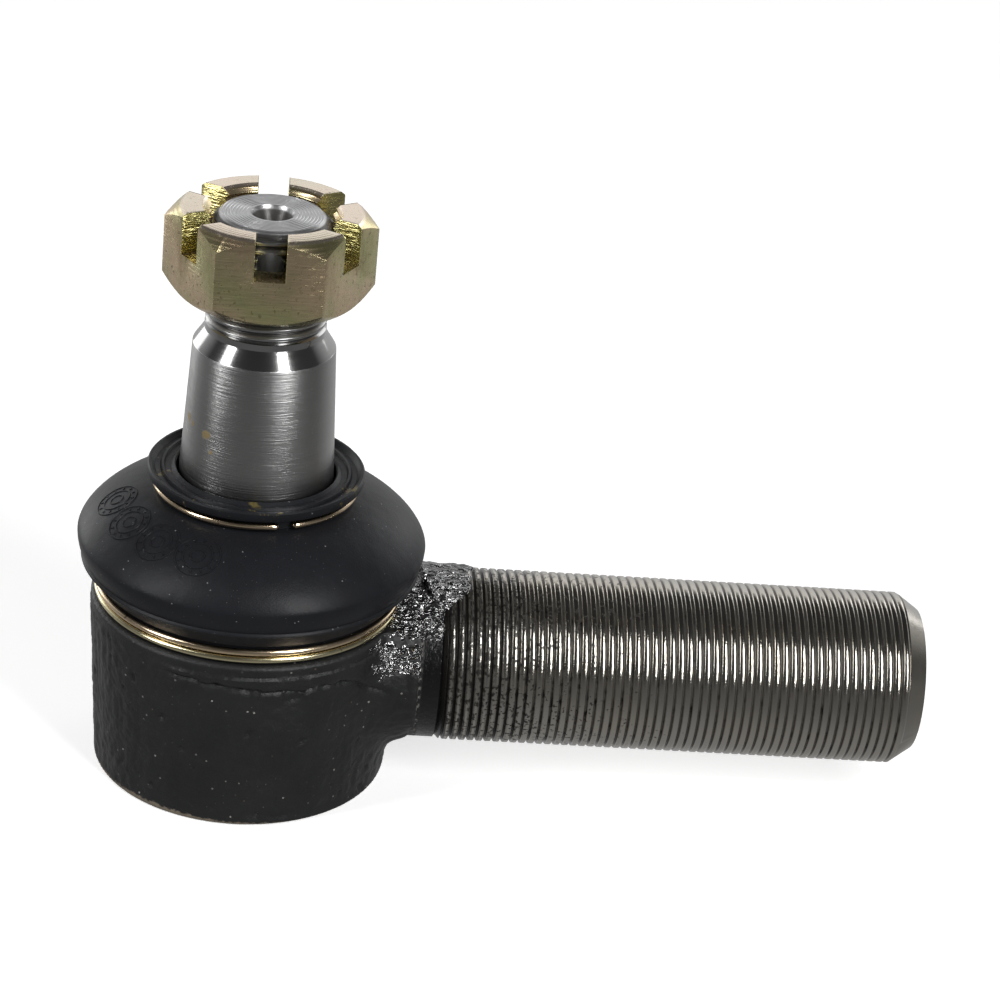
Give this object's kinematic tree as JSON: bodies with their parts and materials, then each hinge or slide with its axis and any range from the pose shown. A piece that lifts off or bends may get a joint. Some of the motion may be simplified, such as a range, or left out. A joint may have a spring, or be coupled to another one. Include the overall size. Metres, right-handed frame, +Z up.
{
  "type": "tie rod end",
  "caption": "Ball joint end for a steering track rod: forged eye with threaded shank, tapered ball stud with castle nut, rubber dust boot.",
  "frame": {"origin": "middle of the closing cover's outer face, on the stud's axis at rest", "axes": "+Z up the stud from the cover to the nut, +X along the threaded shank, +Y across the eye"},
  "size_m": [0.1461, 0.0588, 0.1015],
  "materials": {
    "forged_black": "satin black paint over forged steel",
    "ground_steel": "ground and turned",
    "yellow_zinc": "yellow zinc plated",
    "seat_polymer": "natural acetal",
    "spring_steel": "phosphated",
    "black_steel": "satin black",
    "seal_rubber": "matt",
    "boot_rubber": "matt moulded",
    "ring_wire": "yellow zinc plated wire"
  },
  "bodies": {
    "housing": {"housing": "forged_black", "upper_ball_seat": "seat_polymer", "lower_ball_seat": "seat_polymer", "disc_spring": "spring_steel", "closing_cover": "black_steel", "cover_seal_ring": "seal_rubber", "boot_lower_ring": "ring_wire"},
    "boot": {"dust_boot": "boot_rubber"},
    "boot_neck": {"boot_upper_ring": "ring_wire"},
    "ball_stud": {"ball_stud": "ground_steel"},
    "castle_nut": {"castle_nut": "yellow_zinc"}
  },
  "joints": [
    {"name": "swing_direction", "type": "hinge", "parent": "housing", "child": "boot", "pos_m": [0, 0, 0.0215], "axis": [0, 0, 1], "continuous": true},
    {"name": "stud_tilt", "type": "hinge", "parent": "boot", "child": "boot_neck", "pos_m": [0, 0, 0.0215], "axis": [0, 1, 0], "range_deg": [-20, 20], "deforming": ["dust_boot"]},
    {"name": "stud_spin", "type": "hinge", "parent": "boot_neck", "child": "ball_stud", "pos_m": [0, 0, 0.0215], "axis": [0, 0, 1], "continuous": true},
    {"name": "nut_turn", "type": "hinge", "parent": "ball_stud", "child": "castle_nut", "pos_m": [0, 0, 0.0871], "axis": [0, 0, 1], "continuous": true}
  ]
}
